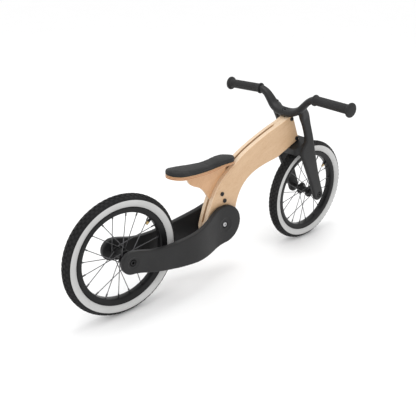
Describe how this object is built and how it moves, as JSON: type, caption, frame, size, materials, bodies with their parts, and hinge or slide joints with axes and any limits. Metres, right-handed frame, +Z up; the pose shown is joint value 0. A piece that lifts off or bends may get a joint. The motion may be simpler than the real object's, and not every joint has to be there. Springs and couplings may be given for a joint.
{
  "type": "balance bike",
  "caption": "Toddler balance bike with plywood frame plates, black moulded fork and swing arms, padded seat and spoked whitewall wheels.",
  "frame": {"origin": "on the ground midway between the two axles, on the centre plane", "axes": "+X forward, +Y to the rider's left, +Z up"},
  "size_m": [0.9586, 0.4384, 0.4753],
  "materials": {
    "plywood": "clear satin lacquer",
    "moulded_plastic": "satin black glass-filled nylon",
    "steel": "zinc plated",
    "black_steel": "black oxide",
    "bush_plastic": "moulded acetal",
    "grip_rubber": "soft matt rubber",
    "seat_cover": "dark grey padded cover",
    "tyre_rubber": "knobbed black tread",
    "whitewall": "pale grey sidewall band",
    "rim_black": "satin black",
    "tube_rubber": "butyl",
    "brass": "dull",
    "hub_black": "satin black",
    "spoke_steel": "dark steel"
  },
  "bodies": {
    "frame": {"frame_plate_right": "plywood", "frame_plate_left": "plywood", "head_block": "plywood", "pivot_block": "plywood", "head_tube": "steel", "pivot_sleeve": "steel", "head_bush_lower": "bush_plastic", "head_bush_upper": "bush_plastic", "friction_discs": "bush_plastic", "head_bolts": "black_steel", "seat_clamp_bolts": "black_steel", "seat_clamp_nuts": "black_steel"},
    "steering": {"fork": "moulded_plastic", "handlebar": "moulded_plastic", "steering_bolt": "steel", "steering_washer": "steel", "crown_insert": "steel", "front_axle": "steel", "front_axle_spacers": "steel", "front_axle_bolts": "black_steel", "grip_right": "grip_rubber", "grip_left": "grip_rubber"},
    "front_wheel": {"front_tyre": "tyre_rubber", "front_whitewalls": "whitewall", "front_rim": "rim_black", "front_inner_tube": "tube_rubber", "front_valve_cap": "brass", "front_hub_shell": "hub_black", "front_hub_bearings": "steel", "front_spokes": "spoke_steel", "front_spoke_nipples": "spoke_steel"},
    "rear_wheel": {"rear_tyre": "tyre_rubber", "rear_whitewalls": "whitewall", "rear_rim": "rim_black", "rear_inner_tube": "tube_rubber", "rear_valve_cap": "brass", "rear_hub_shell": "hub_black", "rear_hub_bearings": "steel", "rear_spokes": "spoke_steel", "rear_spoke_nipples": "spoke_steel"},
    "rear_arms": {"rear_arm_right": "moulded_plastic", "rear_arm_left": "moulded_plastic", "pivot_shaft": "steel", "pivot_bolts": "steel", "rear_axle": "steel", "rear_axle_spacers": "steel", "rear_axle_bolts": "black_steel"},
    "seat": {"seat_support": "plywood", "seat_base": "plywood", "seat_screws": "steel", "seat_pad": "seat_cover"}
  },
  "joints": [
    {"name": "steering", "type": "hinge", "parent": "frame", "child": "steering", "pos_m": [0.3273, 0, 0.152], "axis": [-0.4003, 0, 0.9164], "range_deg": [-45, 45]},
    {"name": "front_wheel_spin", "type": "hinge", "parent": "steering", "child": "front_wheel", "pos_m": [0.3273, 0, 0.152], "axis": [0, 1, 0], "continuous": true},
    {"name": "rear_arm_pivot", "type": "hinge", "parent": "frame", "child": "rear_arms", "pos_m": [-0.0273, 0, 0.1515], "axis": [0, 1, 0], "range_deg": [-30, 8]},
    {"name": "rear_wheel_spin", "type": "hinge", "parent": "rear_arms", "child": "rear_wheel", "pos_m": [-0.3273, 0, 0.152], "axis": [0, 1, 0], "continuous": true},
    {"name": "seat_height", "type": "slide", "parent": "frame", "child": "seat", "axis": [-0.4061, 0, 0.9138], "range_m": [0, 0.035]}
  ]
}
